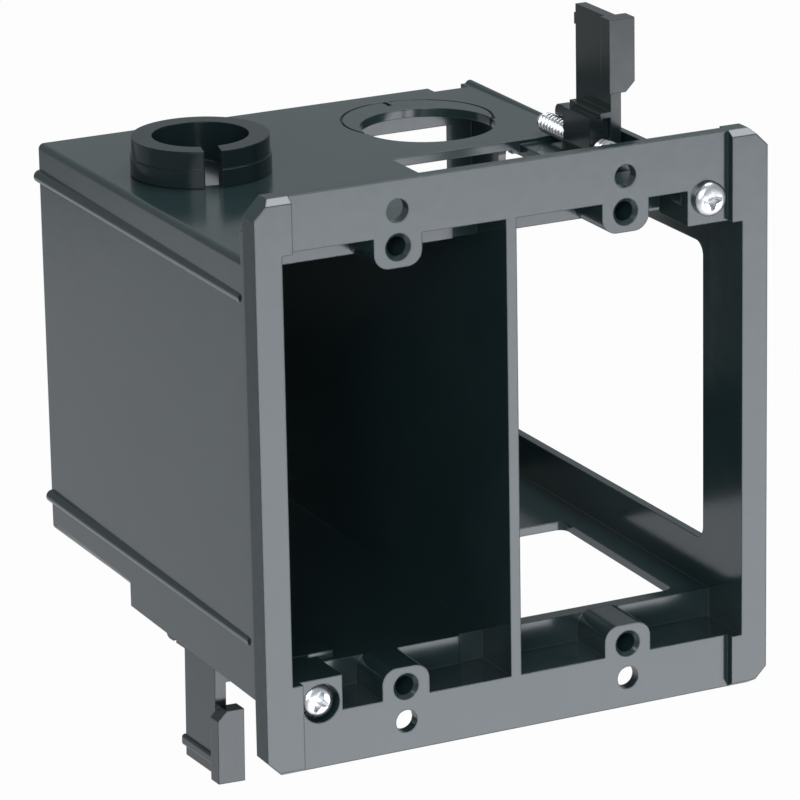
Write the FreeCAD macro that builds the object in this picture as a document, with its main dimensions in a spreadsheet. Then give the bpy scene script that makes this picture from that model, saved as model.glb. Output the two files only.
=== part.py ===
import FreeCAD, Part
import math
import os

import Sketcher

# Two-gang recessed mounting bracket: a closed box on the left, an open-backed
# bay on the right, one moulded housing with a wall flange, a push-in cable
# connector and two screw-driven clamp wings.
# Frame: X right, Y into the wall, Z up. The origin is the middle of the device
# hole pattern, on the front of the flange plate.

SIZES = {
    # Flange plate and its two raised side strips
    "flange_width": 103.6,
    "flange_height": 108.2,
    "plate_thickness": 2.2,
    "corner_cut": 3.3,
    "strip_rise": 1.6,
    "strip_back": 3.2,
    "strip_overhang": 2.1,
    "strip_end_slope": 1.0,
    # Front openings, divider and the four device ears
    "opening_width": 93.0,
    "opening_height": 87.4,
    "divider_thickness": 2.1,
    "divider_offset": -0.35,
    "entry_depth": 10.7,
    "gang_spacing": 46.04,
    "device_hole_spacing": 83.34,
    "cover_hole_spacing": 96.84,
    "device_hole_diameter": 3.6,
    "device_hole_depth": 9.5,
    "device_hole_mouth": 0.75,
    "cover_hole_diameter": 4.3,
    "ear_width": 9.6,
    "ear_reach": 3.85,
    "ear_round": 3.0,
    # Box behind the flange
    "wall": 1.7,
    "rear_wall": 1.8,
    "box_depth": 107.0,
    "box_height": 76.5,
    "box_draft": 0.9,
    "edge_round": 1.1,
    "corner_slot_width": 5.2,
    "corner_slot_depth": 0.8,
    # Clamp corners: pad, recess for the wing and guard wall
    "clamp_offset_x": 40.2,
    "clamp_offset_z": 41.8,
    "lower_clamp_sag": 2.0,
    "pad_width": 10.6,
    "pad_edge_z": 37.0,
    "recess_width": 13.1,
    "recess_length": 61.0,
    "guard_top": 43.4,
    "guard_length": 68.5,
    "pad_boss_diameter": 9.0,
    "pad_boss_length": 4.0,
    "head_seat_diameter": 7.4,
    "head_seat_depth": 2.6,
    # Side ribs
    "rib_height": 32.6,
    "rib_radius": 1.25,
    "rib_length": 94.0,
    "corner_rib_radius": 1.1,
    "corner_rib_rise": 0.6,
    # Openings of the low-voltage bay
    "side_window_front": 13.0,
    "side_window_rear": 94.0,
    "side_window_height": 58.4,
    "side_window_round": 2.6,
    "floor_window_left": 4.5,
    "floor_window_right": 40.4,
    "floor_window_front": 13.6,
    "floor_window_rear": 57.4,
    "floor_window_round": 2.0,
    "top_slot_left": 5.9,
    "top_slot_front": 14.0,
    "back_opening_right": 40.8,
    "back_opening_height": 62.8,
    "rear_notch_left": 36.8,
    "rear_notch_right": 44.2,
    "rear_notch_depth": 3.0,
    # Round holes in the top wall
    "conduit_hole_x": 23.6,
    "conduit_hole_y": 80.9,
    "conduit_hole_diameter": 26.4,
    "knockout_x": 24.2,
    "knockout_y": 86.6,
    "knockout_diameter": 30.2,
    "knockout_groove_width": 0.5,
    "knockout_groove_depth": 0.7,
    "knockout_slit": 1.0,
    "knockout_bite": 1.8,
    # Push-in cable connector
    "connector_x": -28.7,
    "connector_y": 72.0,
    "connector_hole_diameter": 22.2,
    "connector_collar_diameter": 26.8,
    "connector_rim_diameter": 26.2,
    "connector_bore_diameter": 18.4,
    "connector_height": 7.0,
    "connector_base_height": 3.4,
    "connector_neck_length": 7.0,
    "connector_fit": 0.1,
    "connector_seat_gap": 0.15,
    "connector_slot_width": 3.3,
    "connector_slot_turn": -14.0,
    "connector_tongue_width": 9.0,
    "connector_tongue_thickness": 1.2,
    # Clamp screws
    "screw_diameter": 4.1,
    "screw_length": 65.0,
    "screw_head_diameter": 6.9,
    "screw_head_height": 2.1,
    "screw_point": 1.2,
    "drive_width": 1.0,
    "drive_span": 3.8,
    "drive_depth": 1.2,
    "lower_screw_turn": 25.0,
    "running_fit": 0.08,
    "seat_gap": 0.05,
    # Clamp wings
    "wing_front": 35.2,
    "lower_wing_lag": 1.0,
    "lower_wing_turn": 1.7,
    "wing_height": 26.1,
    "web_inner": 0.9,
    "web_thickness": 2.25,
    "web_depth": 13.7,
    "web_tip_drop": 0.6,
    "jaw_thickness": 3.5,
    "jaw_inner": 1.2,
    "jaw_width": 5.4,
    "jaw_height": 14.25,
    "jaw_cut": 1.9,
    "hub_radius": 2.85,
    "hub_front": 4.9,
    "hub_length": 10.6,
    "hub_top": 6.2,
    "heel_length": 8.6,
    "heel_height": 4.3,
    "shelf_thickness": 1.2,
    "shelf_reach": 1.4,
    "bead_height": 2.2,
    "bead_proud": 0.6,
    "bead_drop": 2.9,
}

os.makedirs("parts", exist_ok=True)
doc = FreeCAD.newDocument("mounting_bracket")
sheet = doc.addObject("Spreadsheet::Sheet", "Sizes")
for row, (name, value) in enumerate(SIZES.items(), start=1):
    sheet.set(f"A{row}", name)
    sheet.set(f"B{row}", str(value))
    sheet.setAlias(f"B{row}", name)
doc.recompute()


class Size:
    """A length that knows its value and the sheet expression that gives it."""

    def __init__(self, value, text):
        self.value = float(value)
        self.text = text

    def __add__(self, other):
        other = as_size(other)
        return Size(self.value + other.value, f"({self.text} + {other.text})")

    def __sub__(self, other):
        other = as_size(other)
        return Size(self.value - other.value, f"({self.text} - {other.text})")

    def __mul__(self, other):
        other = as_size(other)
        return Size(self.value * other.value, f"({self.text} * {other.text})")

    def __truediv__(self, other):
        other = as_size(other)
        return Size(self.value / other.value, f"({self.text} / {other.text})")

    def __neg__(self):
        return Size(-self.value, f"(-1 * {self.text})")

    def __rsub__(self, other):
        return as_size(other) - self


def sine(angle):
    """The sine of an angle in degrees."""
    return Size(math.sin(math.radians(angle.value)), f"sin({angle.text})")


def cosine(angle):
    """The cosine of an angle in degrees."""
    return Size(math.cos(math.radians(angle.value)), f"cos({angle.text})")


def as_size(number):
    return number if isinstance(number, Size) else Size(number, repr(float(number)))


def size(name):
    """The driving dimension of that name."""
    return Size(SIZES[name], f"Sizes.{name}")


def origin_plane(body, role):
    return next(item for item in body.Origin.OriginFeatures if item.Role == role)


def new_body(name):
    body = doc.addObject("PartDesign::Body", name)
    body.Label = name
    return body


def new_sketch(body, name, role, offset=0.0):
    """A sketch on one of the body's origin planes, moved along the plane's normal."""
    sketch = body.newObject("Sketcher::SketchObject", name)
    sketch.AttachmentSupport = [(origin_plane(body, role), "")]
    sketch.MapMode = "FlatFace"
    sketch.setExpression("AttachmentOffset.Base.z", as_size(offset).text)
    return sketch


def front_sketch(body, name, depth=0.0):
    """A sketch that faces the viewer at the given depth behind the plate's front."""
    return new_sketch(body, name, "XZ_Plane", -as_size(depth))


def pin_point(sketch, curve, end, point):
    """Fixes one end of a curve at a point given by two sizes."""
    for kind, coordinate in zip(("DistanceX", "DistanceY"), point):
        index = sketch.addConstraint(Sketcher.Constraint(kind, -1, 1, curve, end, coordinate.value))
        sketch.setExpression(f"Constraints[{index}]", coordinate.text)


def toward(corner, other, reach):
    """The point at a distance from a corner along an edge parallel to an axis."""
    across = other[0].value - corner[0].value
    along = other[1].value - corner[1].value
    if abs(across) > abs(along):
        return (corner[0] + reach * math.copysign(1.0, across), corner[1])
    return (corner[0], corner[1] + reach * math.copysign(1.0, along))


def add_line(sketch, start, end):
    first, last = (FreeCAD.Vector(p[0].value, p[1].value, 0) for p in (start, end))
    curve = sketch.addGeometry(Part.LineSegment(first, last), False)
    return curve


def add_corner_arc(sketch, start, corner, end, radius):
    """A quarter round from start to end, inside the given corner."""
    centre = (start[0] + end[0] - corner[0], start[1] + end[1] - corner[1])
    middle = FreeCAD.Vector(centre[0].value, centre[1].value, 0)
    first = math.atan2(start[1].value - middle.y, start[0].value - middle.x)
    last = math.atan2(end[1].value - middle.y, end[0].value - middle.x)
    turn = (last - first) % (2 * math.pi)
    ends = (first, last) if turn < math.pi else (last, first)
    circle = Part.Circle(middle, FreeCAD.Vector(0, 0, 1), radius.value)
    curve = sketch.addGeometry(Part.ArcOfCircle(circle, *ends), False)
    index = sketch.addConstraint(Sketcher.Constraint("Radius", curve, radius.value))
    sketch.setExpression(f"Constraints[{index}]", radius.text)
    return curve, turn < math.pi


def add_outline(sketch, corners):
    """A closed outline through corners of (x, y) or (x, y, round); rounded corners
    join edges parallel to the axes."""
    corners = [tuple(as_size(c) for c in corner) for corner in corners]
    stops = []
    for i, corner in enumerate(corners):
        if len(corner) == 2:
            stops.append((corner, corner))
            continue
        before, after = corners[i - 1], corners[(i + 1) % len(corners)]
        stops.append((toward(corner, before, corner[2]), toward(corner, after, corner[2])))
    ends = []
    for i, corner in enumerate(corners):
        if len(corner) == 3:
            curve, forward = add_corner_arc(sketch, stops[i][0], corner, stops[i][1], corner[2])
            ends.append((curve, 1 if forward else 2, stops[i][0], 2 if forward else 1))
        start, end = stops[i][1], stops[(i + 1) % len(corners)][0]
        ends.append((add_line(sketch, start, end), 1, start, 2))
    for i, (curve, first, point, last) in enumerate(ends):
        before = ends[i - 1]
        sketch.addConstraint(Sketcher.Constraint("Coincident", before[0], before[3], curve, first))
        pin_point(sketch, curve, first, point)


def add_circle(sketch, x, y, diameter):
    x, y, diameter = as_size(x), as_size(y), as_size(diameter)
    middle = FreeCAD.Vector(x.value, y.value, 0)
    curve = sketch.addGeometry(Part.Circle(middle, FreeCAD.Vector(0, 0, 1), diameter.value / 2), False)
    index = sketch.addConstraint(Sketcher.Constraint("Diameter", curve, diameter.value))
    sketch.setExpression(f"Constraints[{index}]", diameter.text)
    pin_point(sketch, curve, 3, (x, y))


def add_box(sketch, left, right, low, high, rounding=None):
    corners = [(left, low), (right, low), (right, high), (left, high)]
    if rounding is not None:
        corners = [corner + (rounding,) for corner in corners]
    add_outline(sketch, corners)


def extrude(body, kind, name, sketch, length, reverse=False):
    """A Pad or Pocket of the sketch. A Pad runs along the sketch's normal and a
    Pocket against it, unless reversed."""
    feature = body.newObject(f"PartDesign::{kind}", name)
    feature.Profile = sketch
    feature.setExpression("Length", as_size(length).text)
    feature.Reversed = reverse
    body.Tip = feature
    doc.recompute()
    return feature


def loft(body, kind, name, first, last):
    feature = body.newObject(f"PartDesign::{kind}", name)
    feature.Profile = first
    feature.Sections = [last]
    feature.Ruled = True
    body.Tip = feature
    doc.recompute()
    return feature


def half_turn(body, name, originals):
    """Repeats features half a turn round the depth axis."""
    pattern = body.newObject("PartDesign::PolarPattern", name)
    pattern.Originals = originals
    pattern.Axis = (next(a for a in body.Origin.OriginFeatures if a.Role == "Y_Axis"), [""])
    pattern.Angle = 360
    pattern.Occurrences = 2
    body.Tip = pattern
    doc.recompute()
    return pattern


# Places that several pieces share
half_flange_width = size("flange_width") / 2
half_flange_height = size("flange_height") / 2
half_opening_width = size("opening_width") / 2
half_opening_height = size("opening_height") / 2
half_box_height = size("box_height") / 2
strip_front = -size("strip_rise")
side_outside = half_opening_width + size("wall")
top_outside = half_box_height + size("wall")
entry_top = half_opening_height + size("wall")
entry_rear = size("entry_depth") + size("wall")
divider_left = size("divider_offset") - size("divider_thickness") / 2
divider_right = size("divider_offset") + size("divider_thickness") / 2
pad_inner = half_opening_width - size("pad_width")
recess_inner = half_opening_width - size("recess_width")
recess_floor = size("pad_edge_z") + size("wall")
half_gang = size("gang_spacing") / 2
device_hole_z = size("device_hole_spacing") / 2
cover_hole_z = size("cover_hole_spacing") / 2
rear_side_outside = side_outside - size("box_draft")
rear_top_outside = top_outside - size("box_draft")
inside_rear = size("box_depth") - size("rear_wall")


def draft_at(depth):
    """How far the box walls have come in at a depth, because of their draft."""
    return size("box_draft") * ((depth - entry_rear) / (size("box_depth") - entry_rear))


def gang_outline(side, divider_edge):
    """The opening of one gang: two ears, and the clamp pad in its outer corner.
    The left gang is the right one turned by half a turn."""
    ear_inner = half_gang - size("ear_width") / 2
    ear_outer = half_gang + size("ear_width") / 2
    ear_tip = device_hole_z - size("ear_reach")
    rounding = size("ear_round")
    low, high = -half_opening_height, half_opening_height
    corners = [
        (divider_edge * side, low),
        (ear_inner, low),
        (ear_inner, -ear_tip, rounding),
        (ear_outer, -ear_tip, rounding),
        (ear_outer, low),
        (half_opening_width, low),
        (half_opening_width, size("pad_edge_z")),
        (pad_inner, size("pad_edge_z")),
        (pad_inner, high),
        (ear_outer, high),
        (ear_outer, ear_tip, rounding),
        (ear_inner, ear_tip, rounding),
        (ear_inner, high),
        (divider_edge * side, high),
    ]
    return [(corner[0] * side, corner[1] * side) + tuple(corner[2:]) for corner in corners]


def build_flange(body):
    plate = front_sketch(body, "plate_outline")
    add_box(plate, -half_flange_width, half_flange_width, -half_flange_height, half_flange_height)
    extrude(body, "Pad", "plate", plate, size("plate_thickness"), reverse=True)
    strip_inner = half_opening_width - size("strip_overhang")
    profile = new_sketch(body, "strip_profile", "YZ_Plane", strip_inner)
    slope_end = half_flange_height - size("strip_end_slope")
    add_outline(profile, [
        (0.0, -half_flange_height),
        (size("strip_back"), -half_flange_height),
        (size("strip_back"), half_flange_height),
        (0.0, half_flange_height),
        (strip_front, slope_end),
        (strip_front, -slope_end),
    ])
    strip = extrude(body, "Pad", "side_strip", profile, half_flange_width - strip_inner)
    half_turn(body, "side_strips", [strip])


def cut_flange_corners(body):
    corners = front_sketch(body, "corner_cuts", strip_front)
    for side_x in (-1.0, 1.0):
        for side_z in (-1.0, 1.0):
            add_outline(corners, [
                (half_flange_width * side_x, (half_flange_height - size("corner_cut")) * side_z),
                (half_flange_width * side_x, half_flange_height * side_z),
                ((half_flange_width - size("corner_cut")) * side_x, half_flange_height * side_z),
            ])
    extrude(body, "Pocket", "flange_corners", corners, size("strip_rise") + size("strip_back"))


def build_box_shell(body):
    """The deep box with drafted walls, and the taller entry just behind the plate."""
    front = front_sketch(body, "shell_front", entry_rear)
    add_box(front, -side_outside, side_outside, -top_outside, top_outside, size("edge_round"))
    rear = front_sketch(body, "shell_rear", size("box_depth"))
    add_box(
        rear, -rear_side_outside, rear_side_outside, -rear_top_outside, rear_top_outside, size("edge_round")
    )
    loft(body, "AdditiveLoft", "shell", front, rear)
    entry = front_sketch(body, "entry_outline", size("plate_thickness"))
    entry_side = pad_inner + size("wall")
    half = [
        (entry_side, entry_top),
        (entry_side, recess_floor),
        (side_outside, recess_floor),
        (side_outside, -entry_top),
    ]
    add_outline(entry, half + [(-x, -z) for x, z in half])
    extrude(body, "Pad", "entry", entry, entry_rear - size("plate_thickness"), reverse=True)


def cut_gangs(body):
    """Hollows both gangs, with drafted insides; the rear wall stays."""
    draft = size("box_draft")
    for name, inner, side in (("left", divider_left, -1.0), ("right", divider_right, 1.0)):
        sections = []
        for place, depth, inset in (("front", size("entry_depth"), 0.0), ("rear", inside_rear, draft)):
            section = front_sketch(body, f"{name}_gang_{place}", depth)
            outer = (half_opening_width - inset) * side
            edges = (outer, inner) if side < 0 else (inner, outer)
            add_box(section, *edges, inset - half_box_height, half_box_height - inset)
            sections.append(section)
        loft(body, "SubtractiveLoft", f"{name}_gang", *sections)


def build_clamp_corner(body):
    """The thickened corner that the wing folds into, its guard wall and the boss
    behind the pad; all of it again half a turn away."""
    floor = front_sketch(body, "recess_floor_outline", entry_rear)
    add_box(
        floor, recess_inner - size("wall"), side_outside - size("box_draft"),
        size("pad_edge_z"), top_outside - size("box_draft"),
    )
    floor_length = size("recess_length") + size("wall") - entry_rear
    floor_pad = extrude(body, "Pad", "recess_body", floor, floor_length, reverse=True)
    guard_inside = side_outside - size("wall")
    guard = front_sketch(body, "guard_outline", size("plate_thickness"))
    add_box(guard, guard_inside, side_outside, size("pad_edge_z"), size("guard_top"))
    front_length = entry_rear - size("plate_thickness")
    guard_front = extrude(body, "Pad", "guard_front", guard, front_length, reverse=True)
    near = front_sketch(body, "guard_near_section", entry_rear)
    add_box(near, guard_inside, side_outside, size("pad_edge_z"), size("guard_top"))
    far = front_sketch(body, "guard_far_section", size("guard_length"))
    guard_edge = side_outside - draft_at(size("guard_length"))
    add_box(far, guard_inside, guard_edge, size("pad_edge_z"), size("guard_top"))
    guard_rear = loft(body, "AdditiveLoft", "guard_rear", near, far)
    half_turn(body, "clamp_corners", [floor_pad, guard_front, guard_rear])
    recess = front_sketch(body, "recess_outline", entry_rear)
    add_box(recess, recess_inner, side_outside - size("wall"), recess_floor, size("guard_top"))
    recess_cut = extrude(body, "Pocket", "recess", recess, size("recess_length") - entry_rear)
    half_turn(body, "recesses", [recess_cut])


def cut_entry(body):
    """One cut shapes the openings, ears, ear bosses and pads."""
    outline = front_sketch(body, "openings", strip_front)
    add_outline(outline, gang_outline(1.0, divider_right))
    add_outline(outline, gang_outline(-1.0, divider_left))
    extrude(body, "Pocket", "entry_openings", outline, size("strip_rise") + size("entry_depth"))
    slots = front_sketch(body, "corner_slots", size("entry_depth"))
    for side in (-1.0, 1.0):
        edges = sorted(
            ((half_box_height - size("box_draft")) * side, half_opening_height * side),
            key=lambda edge: edge.value,
        )
        add_box(slots, divider_left - size("corner_slot_width"), divider_left, *edges)
    extrude(body, "Pocket", "divider_corner_slots", slots, size("corner_slot_depth"))


def cut_screw_holes(body):
    device = front_sketch(body, "device_holes")
    cover = front_sketch(body, "cover_holes")
    for side_x in (-1.0, 1.0):
        for side_z in (-1.0, 1.0):
            add_circle(device, half_gang * side_x, device_hole_z * side_z, size("device_hole_diameter"))
            add_circle(cover, half_gang * side_x, cover_hole_z * side_z, size("cover_hole_diameter"))
    holes = body.newObject("PartDesign::Hole", "device_screw_holes")
    holes.Profile = device
    holes.DepthType = "Dimension"
    holes.DrillPoint = "Flat"
    holes.HoleCutType = "Countersink"
    holes.HoleCutCountersinkAngle = 90
    holes.setExpression("Diameter", size("device_hole_diameter").text)
    holes.setExpression("Depth", size("device_hole_depth").text)
    mouth = size("device_hole_diameter") + size("device_hole_mouth") * 2
    holes.setExpression("HoleCutDiameter", mouth.text)
    body.Tip = holes
    doc.recompute()
    extrude(body, "Pocket", "cover_screw_holes", cover, size("plate_thickness"))


def tilt_to_lower_axis(sketch):
    """Leans a front sketch so that its normal is the lower clamp's axis."""
    tilt = FreeCAD.Rotation(FreeCAD.Vector(-1, 0, 0), SIZES["lower_clamp_sag"])
    sketch.AttachmentOffset = FreeCAD.Placement(FreeCAD.Vector(0, 0, 0), tilt)
    sketch.setExpression("AttachmentOffset.Rotation.Angle", "Sizes.lower_clamp_sag")


def build_clamp_bosses(body):
    """Bosses behind both pads with the screws' bores. The lower bore leans with its
    screw and ends in a seat for the head."""
    boss = front_sketch(body, "pad_boss_outline", size("plate_thickness"))
    add_circle(boss, size("clamp_offset_x"), size("clamp_offset_z"), size("pad_boss_diameter"))
    boss_pad = extrude(body, "Pad", "pad_boss", boss, size("pad_boss_length"), reverse=True)
    half_turn(body, "pad_bosses", [boss_pad])
    bore_diameter = size("screw_diameter") + size("running_fit") * 2
    through = size("plate_thickness") + size("pad_boss_length")
    upper = front_sketch(body, "upper_clamp_bore_outline")
    add_circle(upper, size("clamp_offset_x"), size("clamp_offset_z"), bore_diameter)
    extrude(body, "Pocket", "upper_clamp_bore", upper, through)
    sag = size("lower_clamp_sag")
    lead = size("clamp_offset_z") * sine(sag)
    lower_height = -(size("clamp_offset_z") * cosine(sag))
    lower = front_sketch(body, "lower_clamp_bore_outline")
    tilt_to_lower_axis(lower)
    add_circle(lower, -size("clamp_offset_x"), lower_height, bore_diameter)
    extrude(body, "Pocket", "lower_clamp_bore", lower, through + lead * 2)
    seat = front_sketch(body, "head_seat_outline")
    tilt_to_lower_axis(seat)
    add_circle(seat, -size("clamp_offset_x"), lower_height, size("head_seat_diameter"))
    extrude(body, "Pocket", "head_seat", seat, size("head_seat_depth") + lead)


def build_ribs(body):
    ribs = front_sketch(body, "rib_section", size("box_depth"))
    for side_x in (-1.0, 1.0):
        for side_z in (-1.0, 1.0):
            add_circle(ribs, rear_side_outside * side_x, size("rib_height") * side_z, size("rib_radius") * 2)
    extrude(body, "Pad", "side_ribs", ribs, size("rib_length"))
    corner_rib = front_sketch(body, "corner_rib_section", size("box_depth"))
    radius = size("corner_rib_radius")
    middle_x = rear_side_outside - radius
    middle_z = rear_top_outside + size("corner_rib_rise") - radius
    for side in (-1.0, 1.0):
        add_circle(corner_rib, middle_x * side, middle_z * side, radius * 2)
    rib_length = size("box_depth") - size("guard_length") + size("wall")
    extrude(body, "Pad", "corner_ribs", corner_rib, rib_length)


def cut_bay_openings(body):
    """Window in the right wall, window in the floor, slot in the top and open back."""
    reach = size("wall") * 3
    side = new_sketch(body, "side_window_outline", "YZ_Plane", side_outside)
    half_height = size("side_window_height") / 2
    add_box(
        side, size("side_window_front"), size("side_window_rear"), -half_height, half_height,
        size("side_window_round"),
    )
    extrude(body, "Pocket", "side_window", side, reach)
    floor = new_sketch(body, "floor_window_outline", "XY_Plane", -top_outside)
    add_box(
        floor, size("floor_window_left"), size("floor_window_right"), size("floor_window_front"),
        size("floor_window_rear"), size("floor_window_round"),
    )
    extrude(body, "Pocket", "floor_window", floor, reach, reverse=True)
    slot = new_sketch(body, "top_slot_outline", "XY_Plane", top_outside)
    add_box(
        slot, size("top_slot_left"), recess_inner, size("top_slot_front"), size("recess_length"),
    )
    extrude(body, "Pocket", "top_slot", slot, reach)
    back = front_sketch(body, "back_outline", inside_rear)
    half_back = size("back_opening_height") / 2
    add_box(back, divider_right, size("back_opening_right"), -half_back, half_back)
    extrude(body, "Pocket", "open_back", back, size("rear_wall"))
    notch = new_sketch(body, "rear_notch_outline", "XY_Plane", top_outside)
    notch_front = size("box_depth") - size("rear_notch_depth")
    add_box(notch, size("rear_notch_left"), size("rear_notch_right"), notch_front, size("box_depth"))
    extrude(body, "Pocket", "rear_notch", notch, reach)


def cut_top_holes(body):
    """The conduit hole with the groove of an eccentric knockout round it, and the
    hole that holds the connector."""
    groove = new_sketch(body, "knockout_outline", "XY_Plane", top_outside)
    groove_inside = size("knockout_diameter") - size("knockout_groove_width") * 2
    for diameter in (size("knockout_diameter"), groove_inside):
        add_circle(groove, size("knockout_x"), size("knockout_y"), diameter)
    groove_depth = draft_at(size("knockout_y")) + size("knockout_groove_depth")
    extrude(body, "Pocket", "knockout_groove", groove, groove_depth)
    holes = new_sketch(body, "top_holes", "XY_Plane", top_outside)
    add_circle(holes, size("conduit_hole_x"), size("conduit_hole_y"), size("conduit_hole_diameter"))
    add_circle(holes, size("connector_x"), size("connector_y"), size("connector_hole_diameter"))
    extrude(body, "Pocket", "top_hole_cuts", holes, size("wall") * 3)
    slits = new_sketch(body, "knockout_slits", "XY_Plane", top_outside)
    middle = size("knockout_x")
    rear = size("knockout_y") + size("knockout_diameter") / 2
    half_slit = size("knockout_slit") / 2
    add_box(slits, middle - half_slit, middle + half_slit, rear - size("wall") * 2, rear)
    bite = size("knockout_bite")
    hole_right = size("conduit_hole_x") + size("conduit_hole_diameter") / 2
    bite_front = size("conduit_hole_y") - bite
    add_box(slits, hole_right - bite, hole_right + bite / 2, bite_front, bite_front + size("knockout_slit"))
    extrude(body, "Pocket", "knockout_slit_cut", slits, size("wall") * 3)


def build_housing():
    body = new_body("housing")
    build_flange(body)
    build_box_shell(body)
    build_ribs(body)
    cut_gangs(body)
    build_clamp_corner(body)
    cut_entry(body)
    cut_flange_corners(body)
    build_clamp_bosses(body)
    cut_screw_holes(body)
    cut_bay_openings(body)
    cut_top_holes(body)
    return body


def build_connector():
    """Snap-in ring for a cable: a collar on the top wall, a neck through the hole
    and a springy tongue inside, split at the front."""
    body = new_body("cable_connector")
    profile = new_sketch(body, "ring_profile", "XZ_Plane")
    bore = size("connector_bore_diameter") / 2
    neck = size("connector_hole_diameter") / 2 - size("connector_fit")
    base = size("connector_collar_diameter") / 2
    rim = size("connector_rim_diameter") / 2
    add_outline(profile, [
        (bore, -size("connector_neck_length")),
        (neck, -size("connector_neck_length")),
        (neck, 0.0),
        (base, 0.0),
        (base, size("connector_base_height")),
        (rim, size("connector_base_height")),
        (rim, size("connector_height")),
        (bore, size("connector_height")),
    ])
    ring = body.newObject("PartDesign::Revolution", "ring")
    ring.Profile = profile
    ring.ReferenceAxis = (next(a for a in body.Origin.OriginFeatures if a.Role == "Z_Axis"), [""])
    ring.Angle = 360
    body.Tip = ring
    doc.recompute()
    slot = new_sketch(body, "slot_outline", "XY_Plane", size("connector_height"))
    half_slot = size("connector_slot_width") / 2
    add_box(slot, -half_slot, half_slot, -(base + 1.0), 0.0)
    slot_depth = size("connector_height") + size("connector_neck_length")
    extrude(body, "Pocket", "split", slot, slot_depth)
    tongue = new_sketch(body, "tongue_profile", "YZ_Plane", -size("connector_tongue_width") / 2)
    thickness = size("connector_tongue_thickness")
    low = -size("connector_neck_length")
    add_outline(tongue, [
        (neck - thickness, 0.0),
        (-bore / 3, low),
        (-bore / 3 + thickness * 1.4, low),
        (neck - thickness * 0.2, -thickness),
        (neck - thickness * 0.2, 0.0),
    ])
    extrude(body, "Pad", "tongue", tongue, size("connector_tongue_width"))
    seat_z = top_outside - draft_at(size("connector_y")) + size("connector_seat_gap")
    body.Placement = FreeCAD.Placement(
        FreeCAD.Vector(size("connector_x").value, size("connector_y").value, seat_z.value),
        FreeCAD.Rotation(FreeCAD.Vector(0, 0, 1), SIZES["connector_slot_turn"]),
    )
    body.setExpression("Placement.Base.x", size("connector_x").text)
    body.setExpression("Placement.Base.y", size("connector_y").text)
    body.setExpression("Placement.Base.z", seat_z.text)
    return body


def place_on_clamp_axis(body, side, depth, lower_turn):
    """Puts a body on the clamp axis of its side. The lower one is half a turn round
    and a little more, and leans down by its sag."""
    x, z = size("clamp_offset_x") * side, size("clamp_offset_z") * side
    y = depth
    turn = FreeCAD.Rotation(FreeCAD.Vector(0, 1, 0), 0.0 if side > 0 else 180.0 + lower_turn)
    if side < 0:
        sag = size("lower_clamp_sag")
        y, z = depth * cosine(sag), z - depth * sine(sag)
        turn = FreeCAD.Rotation(FreeCAD.Vector(-1, 0, 0), sag.value).multiply(turn)
    body.Placement = FreeCAD.Placement(FreeCAD.Vector(x.value, y.value, z.value), turn)
    body.setExpression("Placement.Base.x", x.text)
    body.setExpression("Placement.Base.y", y.text)
    body.setExpression("Placement.Base.z", z.text)


def build_screw(name, side, seat):
    """Pan-head machine screw along Y, with its cross drive."""
    body = new_body(name)
    profile = new_sketch(body, "screw_profile", "XY_Plane")
    head, shank = size("screw_head_diameter") / 2, size("screw_diameter") / 2
    crown = size("screw_head_height")
    point = size("screw_point")
    add_outline(profile, [
        (0.0, -crown),
        (head * 0.62, -crown),
        (head * 0.9, -crown * 0.72),
        (head, -crown * 0.36),
        (head, 0.0),
        (shank, 0.0),
        (shank, size("screw_length") - point),
        (shank * 0.6, size("screw_length")),
        (0.0, size("screw_length")),
    ])
    turned = body.newObject("PartDesign::Revolution", "turned_screw")
    turned.Profile = profile
    turned.ReferenceAxis = (next(a for a in body.Origin.OriginFeatures if a.Role == "Y_Axis"), [""])
    turned.Angle = 360
    body.Tip = turned
    doc.recompute()
    drive = front_sketch(body, "drive_outline", -crown)
    arm, half = size("drive_span") / 2, size("drive_width") / 2
    add_outline(drive, [
        (-arm, -half), (-half, -half), (-half, -arm), (half, -arm), (half, -half), (arm, -half),
        (arm, half), (half, half), (half, arm), (-half, arm), (-half, half), (-arm, half),
    ])
    extrude(body, "Pocket", "cross_drive", drive, size("drive_depth"))
    place_on_clamp_axis(body, side, seat - size("seat_gap"), SIZES["lower_screw_turn"])
    return body


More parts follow.
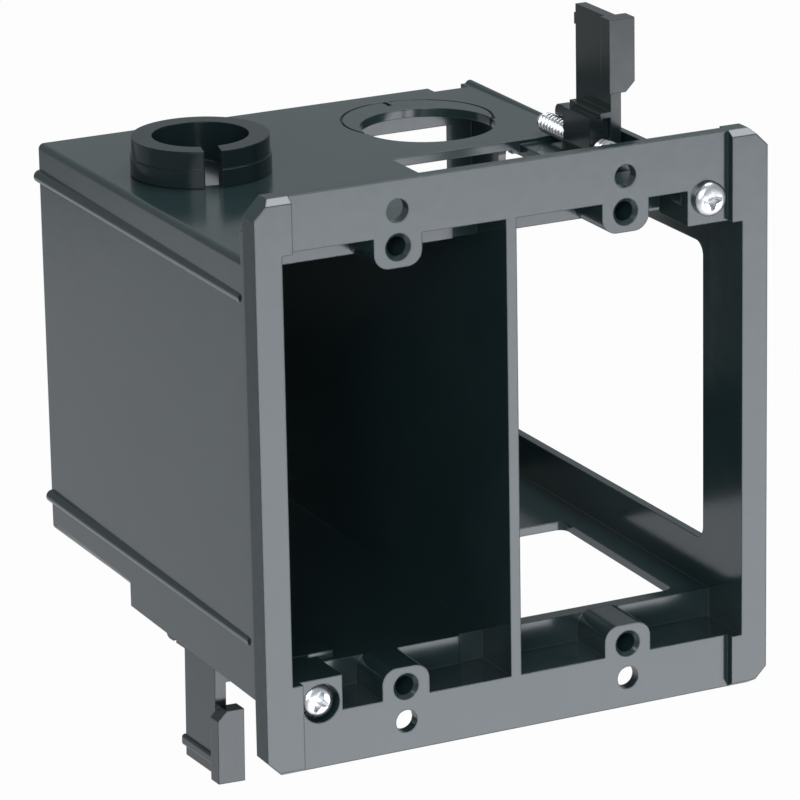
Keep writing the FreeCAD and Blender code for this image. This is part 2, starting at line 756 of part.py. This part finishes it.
def build_wing(name, side):
    """Clamp wing: a web with a jaw across its front edge, on a hub that rides the
    screw. Its own frame has the screw axis at zero, the jaw's face at Y zero."""
    body = new_body(name)
    web_left, web_right = size("web_inner"), size("web_inner") + size("web_thickness")
    jaw_rear, top = size("jaw_thickness"), size("wing_height")
    web_top = top - size("web_tip_drop")
    web_rear = jaw_rear + size("web_depth")
    heel_rear = web_rear + size("heel_length")
    hub, hub_front = size("hub_radius"), size("hub_front")
    bump = size("heel_length") / 4
    web = new_sketch(body, "web_profile", "YZ_Plane", web_left)
    heel = size("heel_height")
    add_outline(web, [
        (jaw_rear, -hub),
        (jaw_rear, web_top),
        (web_rear, web_top),
        (web_rear, heel),
        (web_rear + bump * 1.8, heel),
        (web_rear + bump * 1.8, heel - 0.8),
        (web_rear + bump * 2.1, heel - 0.8),
        (web_rear + bump * 2.1, heel, bump * 0.4),
        (heel_rear, heel, bump * 0.8),
        (heel_rear, -0.6),
        (hub_front + size("hub_length"), -hub),
    ])
    extrude(body, "Pad", "web", web, size("web_thickness"))
    jaw = front_sketch(body, "jaw_outline")
    jaw_left, jaw_right = -size("jaw_inner"), size("jaw_width") - size("jaw_inner")
    jaw_low, cut = top - size("jaw_height"), size("jaw_cut")
    add_outline(jaw, [
        (jaw_left, jaw_low),
        (jaw_right - cut, jaw_low),
        (jaw_right, jaw_low + cut),
        (jaw_right, top),
        (jaw_left, top),
    ])
    extrude(body, "Pad", "jaw", jaw, jaw_rear, reverse=True)
    hub_outline = front_sketch(body, "hub_outline", hub_front)
    add_outline(hub_outline, [
        (-hub, -hub, hub * 0.98),
        (web_right, -hub),
        (web_right, size("hub_top")),
        (-hub, size("hub_top")),
    ])
    extrude(body, "Pad", "hub", hub_outline, size("hub_length"), reverse=True)
    shelf = front_sketch(body, "shelf_outline", jaw_rear)
    shelf_left = -size("shelf_reach")
    shelf_top = size("hub_top") + size("shelf_thickness")
    add_box(shelf, shelf_left, web_right, size("hub_top"), shelf_top)
    extrude(body, "Pad", "shelf", shelf, hub_front + size("hub_length") - jaw_rear, reverse=True)
    bead = front_sketch(body, "bead_outline", jaw_rear)
    bead_z, half_bead = web_top - size("bead_drop"), size("bead_height") / 2
    bead_right = web_right + size("bead_proud")
    add_outline(bead, [
        (web_left, bead_z - half_bead),
        (bead_right, bead_z - half_bead, size("bead_proud")),
        (bead_right, bead_z + half_bead, size("bead_proud")),
        (web_left, bead_z + half_bead),
    ])
    extrude(body, "Pad", "bead", bead, size("web_depth") + size("bead_proud"), reverse=True)
    bore = front_sketch(body, "bore_outline")
    add_circle(bore, 0.0, 0.0, size("screw_diameter") + size("running_fit") * 2)
    extrude(body, "Pocket", "screw_bore", bore, heel_rear)
    front = size("wing_front") if side > 0 else size("wing_front") + size("lower_wing_lag")
    place_on_clamp_axis(body, side, front, SIZES["lower_wing_turn"])
    return body


def check_document():
    """Every object has to be sound before anything is written."""
    for item in doc.Objects:
        if "Invalid" in item.State or "Error" in item.State:
            raise RuntimeError(f"{item.Name} failed: {item.State}")


def write_parts(bodies):
    check_document()
    for body in bodies:
        shape = body.Shape
        if shape.isNull() or not shape.isValid():
            raise RuntimeError(f"{body.Label} has no sound shape")
    for body in bodies:
        body.Shape.exportStep(f"parts/{body.Label}.step")
        print(body.Label, len(body.Shape.Solids), "solid", round(body.Shape.Volume), "mm3")


write_parts([
    build_housing(),
    build_connector(),
    build_screw("upper_clamp_screw", 1.0, as_size(0.0)),
    build_screw("lower_clamp_screw", -1.0, size("head_seat_depth")),
    build_wing("upper_clamp_wing", 1.0),
    build_wing("lower_clamp_wing", -1.0),
])
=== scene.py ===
import math

import bmesh
import bpy
from mathutils import Matrix, Vector


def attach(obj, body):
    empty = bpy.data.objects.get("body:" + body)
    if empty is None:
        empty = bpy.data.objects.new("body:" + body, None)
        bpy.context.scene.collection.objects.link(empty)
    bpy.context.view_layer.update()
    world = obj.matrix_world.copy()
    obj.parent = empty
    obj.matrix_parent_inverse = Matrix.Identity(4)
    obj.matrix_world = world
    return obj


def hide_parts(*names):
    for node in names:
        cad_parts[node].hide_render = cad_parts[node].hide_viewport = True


# Two-gang mounting bracket: moulded black housing, push-in connector, two clamp
# wings and two zinc-plated screws, over a plain white studio floor.

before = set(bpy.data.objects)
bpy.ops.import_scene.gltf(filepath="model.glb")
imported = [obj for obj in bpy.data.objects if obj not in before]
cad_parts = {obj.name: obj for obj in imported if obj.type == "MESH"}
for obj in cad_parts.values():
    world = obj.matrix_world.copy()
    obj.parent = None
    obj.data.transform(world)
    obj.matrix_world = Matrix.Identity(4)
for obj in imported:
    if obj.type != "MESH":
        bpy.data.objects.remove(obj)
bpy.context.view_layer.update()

MM = 0.001

# Clamp axes, as on the solids
CLAMP_X = 40.2 * MM
CLAMP_Z = 41.8 * MM
LOWER_SAG = math.radians(2.0)
LOWER_TURN = math.radians(25.0)
LOWER_SEAT = 2.6 * MM
SEAT_GAP = 0.05 * MM

# Screw, with the shares of its pitch that the crest's flat and the two flanks take
SHANK_RADIUS = 2.05 * MM
ROOT_RADIUS = 1.5 * MM
THREAD_PITCH = 1.2 * MM
SCREW_LENGTH = 65.0 * MM
HEAD_RADIUS = 3.3 * MM
HEAD_HEIGHT = 1.8 * MM
PLAIN_LENGTH = 0.6 * MM
POINT_LENGTH = 1.2 * MM
CREST_SHARE = 0.25
FLANK_SHARE = 0.55
RINGS_A_TURN = 8
THREAD_SIDES = 24
HEAD_SIDES = 48
SHARP_EDGE = math.radians(32)

# Pan head, from its middle out to the rim and back, as shares of radius and height
CROWN = (
    (0.0, 1.0), (0.3, 0.99), (0.58, 0.94), (0.78, 0.83), (0.92, 0.64), (0.985, 0.42), (1.0, 0.18),
    (0.985, 0.0), (0.0, 0.0),
)

# Drive cross in millimetres: depth, reach of the arms, half width of their tips, and
# place of the inner corners; its front first
CROSS_LAYERS = ((-0.4, 2.15, 0.38, 0.8), (2.1, 1.3, 0.22, 0.45))

# Camera
CAMERA_PLACE = (-425.5, -818.4, 305.6)
CAMERA_AZIMUTH = -26.36
CAMERA_ELEVATION = 17.61
CAMERA_ROLL = -0.99
CAMERA_LENS = 240.6
CAMERA_SHIFT = (-0.02, -0.02)

# Studio, in metres
FLOOR_HEIGHT = -0.9
FLOOR_REACH = 6.0
FLOOR_GLOW = 0.97
LIGHT_COLOR = (0.925, 0.94, 1.0)
WORLD_COLOR = (0.92, 0.98, 1.0)
WORLD_STRENGTH = 0.36
WHITE = (1, 1, 1, 1)

# Name, place, target, size and brightness of each light
LIGHTS = (
    ("front_softbox", (0.60, -1.18, -0.57), (0, 0, -0.1), (1.5, 0.62), 4.8),
    ("overhead_softbox", (0.36, 0.15, 1.17), (0, 0, 0.05), (0.75, 0.75), 7.5),
    ("back_card", (-0.65, 1.2, -0.60), (0, 0.05, -0.2), (1.6, 0.54), 0.42),
    ("front_fill", (-0.8, -1.5, 0.7), (0, 0, 0), (1.0, 1.0), 7.0),
)

# Scale, strength and height in metres of the bump
WALL_WAVE = (90.0, 0.25, 0.0001)
GRAIN_SCALE = 3200.0
GRAIN_HEIGHT = 0.00004

# The flange's outer sides lie beyond this and are rougher by so much
RIM_X = 51.75 * MM
RIM_ROUGHNESS = 0.3


def add_node(tree, kind, **values):
    node = tree.nodes.new(kind)
    for name, value in values.items():
        if name in node.inputs:
            node.inputs[name].default_value = value
        else:
            setattr(node, name, value)
    return node


def new_material(name):
    material = bpy.data.materials.new(name)
    material.use_nodes = True
    tree = material.node_tree
    tree.nodes.clear()
    output = tree.nodes.new("ShaderNodeOutputMaterial")
    return material, tree, output


def noise(tree, scale, detail=3.0, roughness=0.5):
    """Noise in the object's own metres."""
    place = tree.nodes.new("ShaderNodeTexCoord")
    node = add_node(tree, "ShaderNodeTexNoise", Scale=scale, Detail=detail, Roughness=roughness)
    tree.links.new(place.outputs["Object"], node.inputs["Vector"])
    return node.outputs["Fac"]


def spread(tree, value, low, high):
    """Maps a noise value to a range."""
    node = tree.nodes.new("ShaderNodeMapRange")
    node.inputs["From Min"].default_value = 0.3
    node.inputs["From Max"].default_value = 0.7
    node.inputs["To Min"].default_value = low
    node.inputs["To Max"].default_value = high
    tree.links.new(value, node.inputs["Value"])
    return node.outputs["Result"]


def tint(tree, value, dark, light):
    ramp = tree.nodes.new("ShaderNodeValToRGB")
    ramp.color_ramp.elements[0].position = 0.3
    ramp.color_ramp.elements[1].position = 0.7
    ramp.color_ramp.elements[0].color = (*dark, 1.0)
    ramp.color_ramp.elements[1].color = (*light, 1.0)
    tree.links.new(value, ramp.inputs["Fac"])
    return ramp.outputs["Color"]


def matte_rim(tree, roughness):
    """Adds roughness on the flange's outer sides, left matte by the mould's parting."""
    place = tree.nodes.new("ShaderNodeTexCoord")
    split = tree.nodes.new("ShaderNodeSeparateXYZ")
    tree.links.new(place.outputs["Object"], split.inputs["Vector"])
    value = split.outputs["X"]
    for operation, number in (("ABSOLUTE", 0.0), ("GREATER_THAN", RIM_X), ("MULTIPLY", RIM_ROUGHNESS)):
        step = add_node(tree, "ShaderNodeMath", operation=operation)
        step.inputs[1].default_value = number
        tree.links.new(value, step.inputs[0])
        value = step.outputs[0]
    total = tree.nodes.new("ShaderNodeMath")
    tree.links.new(roughness, total.inputs[0])
    tree.links.new(value, total.inputs[1])
    return total.outputs[0]


def surface(name, dark, light, rough, edge, index, grain=0.05, patches=60.0, metallic=0.0, rim=False):
    """A material with cloudy tint, uneven roughness, fine grain and softened edges."""
    material, tree, output = new_material(name)
    shader = add_node(tree, "ShaderNodeBsdfPrincipled", Metallic=metallic, IOR=index)
    tree.links.new(tint(tree, noise(tree, patches, 4.0), dark, light), shader.inputs["Base Color"])
    roughness = spread(tree, noise(tree, 420.0), *rough)
    if rim:
        roughness = matte_rim(tree, roughness)
    tree.links.new(roughness, shader.inputs["Roughness"])
    bevel = add_node(tree, "ShaderNodeBevel", samples=4, Radius=edge)
    normal = bevel.outputs["Normal"]
    for scale, strength, distance in (WALL_WAVE, (GRAIN_SCALE, grain, GRAIN_HEIGHT)):
        bump = add_node(tree, "ShaderNodeBump", Strength=strength, Distance=distance)
        tree.links.new(noise(tree, scale, 2.0), bump.inputs["Height"])
        tree.links.new(normal, bump.inputs["Normal"])
        normal = bump.outputs["Normal"]
    tree.links.new(normal, shader.inputs["Normal"])
    tree.links.new(shader.outputs["BSDF"], output.inputs["Surface"])
    return material


HOUSING = surface(
    "housing_plastic", dark=(0.012, 0.025, 0.026), light=(0.016, 0.030, 0.031), rough=(0.15, 0.19),
    edge=0.35 * MM, index=1.54, rim=True,
)
CONNECTOR = surface(
    "connector_plastic", dark=(0.008, 0.016, 0.017), light=(0.011, 0.019, 0.020), rough=(0.18, 0.22),
    edge=0.35 * MM, index=1.31,
)
WING = surface(
    "wing_plastic", dark=(0.011, 0.018, 0.019), light=(0.014, 0.021, 0.022), rough=(0.16, 0.20),
    edge=0.3 * MM, index=1.49,
)
ZINC = surface(
    "zinc_steel", dark=(0.74, 0.75, 0.76), light=(0.84, 0.85, 0.86), rough=(0.24, 0.34),
    edge=0.12 * MM, index=1.5, grain=0.15, patches=500.0, metallic=1.0,
)


def clothe(node, material):
    """Puts a material in the CAD node's slots."""
    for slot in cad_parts[node].material_slots:
        slot.link = "OBJECT"
        slot.material = material


def mesh_object(name, vertices, faces, material):
    mesh = bpy.data.meshes.new(name)
    mesh.from_pydata(vertices, [], faces)
    mesh.update()
    item = bpy.data.objects.new(name, mesh)
    bpy.context.scene.collection.objects.link(item)
    mesh.materials.append(material)
    return item


def turned(profile, steps):
    """Vertices and faces of a profile of (radius, depth) turned round Y; radius 0 is
    a single point."""
    vertices, rings, faces = [], [], []
    for radius, depth in profile:
        ring = []
        count = 1 if radius == 0 else steps
        for i in range(count):
            turn = 2 * math.pi * i / steps
            ring.append(len(vertices))
            vertices.append((radius * math.sin(turn), depth, radius * math.cos(turn)))
        rings.append(ring)
    for low, high in zip(rings, rings[1:]):
        for i in range(steps):
            j = (i + 1) % steps
            quad = [low[i % len(low)], low[j % len(low)], high[j % len(high)], high[i % len(high)]]
            corners = list(dict.fromkeys(quad))
            if len(corners) > 2:
                faces.append(corners)
    return vertices, faces


def cross_cutter(front):
    """A cross whose arms narrow outwards and inwards, that cuts the drive."""
    bits = bmesh.new()
    rings = []
    for depth, reach, tip, inner in CROSS_LAYERS:
        ring = []
        for k in range(4):
            spin = Matrix.Rotation(-k * math.pi / 2, 4, "Y")
            for x, z in ((reach, -tip), (reach, tip), (inner, inner)):
                ring.append(bits.verts.new(spin @ (Vector((x, depth, z)) * MM)))
        bits.faces.new(ring)
        rings.append(ring)
    front_ring, back_ring = rings
    for i in range(len(front_ring)):
        j = (i + 1) % len(front_ring)
        bits.faces.new((front_ring[i], front_ring[j], back_ring[j], back_ring[i]))
    bmesh.ops.translate(bits, verts=bits.verts, vec=(0, front, 0))
    bmesh.ops.recalc_face_normals(bits, faces=bits.faces)
    mesh = bpy.data.meshes.new("cutter")
    bits.to_mesh(mesh)
    bits.free()
    item = bpy.data.objects.new("cutter", mesh)
    bpy.context.scene.collection.objects.link(item)
    return item


def cut(item, cutter):
    """Boolean difference, baked into the item's mesh."""
    modifier = item.modifiers.new("cut", "BOOLEAN")
    modifier.object = cutter
    modifier.operation = "DIFFERENCE"
    modifier.solver = "EXACT"
    graph = bpy.context.evaluated_depsgraph_get()
    baked = bpy.data.meshes.new_from_object(item.evaluated_get(graph))
    item.modifiers.clear()
    old = item.data
    item.data = baked
    bpy.data.meshes.remove(old)
    bpy.data.objects.remove(cutter, do_unlink=True)


def thread():
    """The threaded shank, one closed mesh of flat rings whose radius follows a helix."""
    spacing = THREAD_PITCH / RINGS_A_TURN
    thread_end = SCREW_LENGTH - POINT_LENGTH
    vertices, rings = [(0.0, 0.0, 0.0)], []

    def add_ring(depth, radius_at):
        ring = []
        for i in range(THREAD_SIDES):
            turn = 2 * math.pi * i / THREAD_SIDES
            radius = radius_at(turn)
            ring.append(len(vertices))
            vertices.append((radius * math.sin(turn), depth, radius * math.cos(turn)))
        rings.append(ring)

    def helix_radius(depth, turn):
        phase = (depth / THREAD_PITCH - turn / (2 * math.pi)) % 1.0
        crest = min(1.0, max(0.0, (CREST_SHARE + FLANK_SHARE - abs(2 * phase - 1)) / FLANK_SHARE))
        run_out = min(1.0, max(0.0, min(depth - PLAIN_LENGTH, thread_end - depth) / THREAD_PITCH))
        return ROOT_RADIUS + (SHANK_RADIUS - ROOT_RADIUS) * crest * run_out

    for k in range(int(thread_end / spacing) + 1):
        depth = k * spacing
        add_ring(depth, lambda turn: helix_radius(depth, turn))
    add_ring(thread_end + POINT_LENGTH * 0.25, lambda turn: ROOT_RADIUS)
    add_ring(SCREW_LENGTH, lambda turn: ROOT_RADIUS * 0.6)
    tip = len(vertices)
    vertices.append((0.0, SCREW_LENGTH, 0.0))
    faces = []
    for i in range(THREAD_SIDES):
        j = (i + 1) % THREAD_SIDES
        faces += [(low[i], low[j], high[j], high[i]) for low, high in zip(rings, rings[1:])]
        faces.append((0, rings[0][j], rings[0][i]))
        faces.append((tip, rings[-1][i], rings[-1][j]))
    return vertices, faces


def screw(name, node, body, place):
    """Pan head with its cross drive, and a threaded shank."""
    profile = [(HEAD_RADIUS * radius, -HEAD_HEIGHT * height) for radius, height in CROWN]
    head = mesh_object(f"{name}_head", *turned(profile, HEAD_SIDES), ZINC)
    cut(head, cross_cutter(-HEAD_HEIGHT))
    shank = mesh_object(f"{name}_shank", *thread(), ZINC)
    for item in (head, shank):
        item.data.transform(place)
        item.data.update()
        for polygon in item.data.polygons:
            polygon.use_smooth = True
        item.data.set_sharp_from_angle(angle=SHARP_EDGE)
        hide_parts(node)
        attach(item, body)


upper_place = Matrix.Translation((CLAMP_X, -SEAT_GAP, CLAMP_Z))
lower_place = (
    Matrix.Translation((-CLAMP_X, 0.0, -CLAMP_Z))
    @ Matrix.Rotation(-LOWER_SAG, 4, "X")
    @ Matrix.Rotation(math.pi + LOWER_TURN, 4, "Y")
    @ Matrix.Translation((0, LOWER_SEAT - SEAT_GAP, 0))
)

for node, material in (
    ("housing", HOUSING),
    ("cable_connector", CONNECTOR),
    ("upper_clamp_wing", WING),
    ("lower_clamp_wing", WING),
):
    clothe(node, material)
screw("upper_screw", "upper_clamp_screw", "upper_screw", upper_place)
screw("lower_screw", "lower_clamp_screw", "lower_screw", lower_place)


def studio_floor():
    """A pale floor that shows nearly white and keeps the object's shadow."""
    material, tree, output = new_material("floor_white")
    diffuse = tree.nodes.new("ShaderNodeBsdfDiffuse")
    shade = tint(tree, noise(tree, 9.0), (0.80, 0.80, 0.80), (0.84, 0.84, 0.84))
    tree.links.new(shade, diffuse.inputs["Color"])
    glow = add_node(tree, "ShaderNodeEmission", Color=WHITE, Strength=1.0)
    path = tree.nodes.new("ShaderNodeLightPath")
    share = add_node(tree, "ShaderNodeMath", operation="MULTIPLY")
    share.inputs[1].default_value = FLOOR_GLOW
    tree.links.new(path.outputs["Is Camera Ray"], share.inputs[0])
    mix = tree.nodes.new("ShaderNodeMixShader")
    tree.links.new(share.outputs[0], mix.inputs["Fac"])
    tree.links.new(diffuse.outputs["BSDF"], mix.inputs[1])
    tree.links.new(glow.outputs["Emission"], mix.inputs[2])
    tree.links.new(mix.outputs["Shader"], output.inputs["Surface"])
    signs = ((-1, -1), (1, -1), (1, 1), (-1, 1))
    corners = [(x * FLOOR_REACH, y * FLOOR_REACH, FLOOR_HEIGHT) for x, y in signs]
    mesh_object("studio_floor", corners, [(0, 1, 2, 3)], material)


def studio_world():
    """White to the camera, and a dim even light for everything else."""
    world = bpy.data.worlds.new("studio")
    bpy.context.scene.world = world
    world.use_nodes = True
    tree = world.node_tree
    tree.nodes.clear()
    output = tree.nodes.new("ShaderNodeOutputWorld")
    path = tree.nodes.new("ShaderNodeLightPath")
    seen = add_node(tree, "ShaderNodeBackground", Color=WHITE, Strength=1.0)
    light = add_node(tree, "ShaderNodeBackground", Color=(*WORLD_COLOR, 1), Strength=WORLD_STRENGTH)
    mix = tree.nodes.new("ShaderNodeMixShader")
    tree.links.new(path.outputs["Is Camera Ray"], mix.inputs["Fac"])
    tree.links.new(light.outputs["Background"], mix.inputs[1])
    tree.links.new(seen.outputs["Background"], mix.inputs[2])
    tree.links.new(mix.outputs["Shader"], output.inputs["Surface"])


def area_light(name, place, target, size, brightness):
    """A soft box of a size and brightness, aimed at a target."""
    data = bpy.data.lights.new(name, "AREA")
    data.color = LIGHT_COLOR
    data.shape = "RECTANGLE"
    data.size, data.size_y = size
    data.energy = brightness * math.pi * size[0] * size[1]
    item = bpy.data.objects.new(name, data)
    item.location = place
    item.rotation_euler = (Vector(target) - Vector(place)).to_track_quat("-Z", "Y").to_euler()
    bpy.context.scene.collection.objects.link(item)


def photo_camera():
    azimuth, elevation = math.radians(CAMERA_AZIMUTH), math.radians(CAMERA_ELEVATION)
    back = Vector((
        math.sin(azimuth) * math.cos(elevation),
        -math.cos(azimuth) * math.cos(elevation),
        math.sin(elevation),
    ))
    right = Vector((0, 0, 1)).cross(back).normalized()
    up = back.cross(right)
    roll = math.radians(CAMERA_ROLL)
    tilted_right = right * math.cos(roll) + up * math.sin(roll)
    tilted_up = up * math.cos(roll) - right * math.sin(roll)
    data = bpy.data.cameras.new("photo_camera")
    data.sensor_width = 36.0
    data.lens = CAMERA_LENS
    data.shift_x, data.shift_y = CAMERA_SHIFT
    data.clip_start, data.clip_end = 0.05, 30.0
    camera = bpy.data.objects.new("photo_camera", data)
    axes = Matrix((tilted_right, tilted_up, back)).transposed().to_4x4()
    camera.matrix_world = Matrix.Translation(Vector(CAMERA_PLACE) * MM) @ axes
    bpy.context.scene.collection.objects.link(camera)
    bpy.context.scene.camera = camera


studio_floor()
studio_world()
for name, place, target, size, brightness in LIGHTS:
    area_light(name, place, target, size, brightness)
photo_camera()
bpy.context.scene.view_settings.view_transform = "Standard"
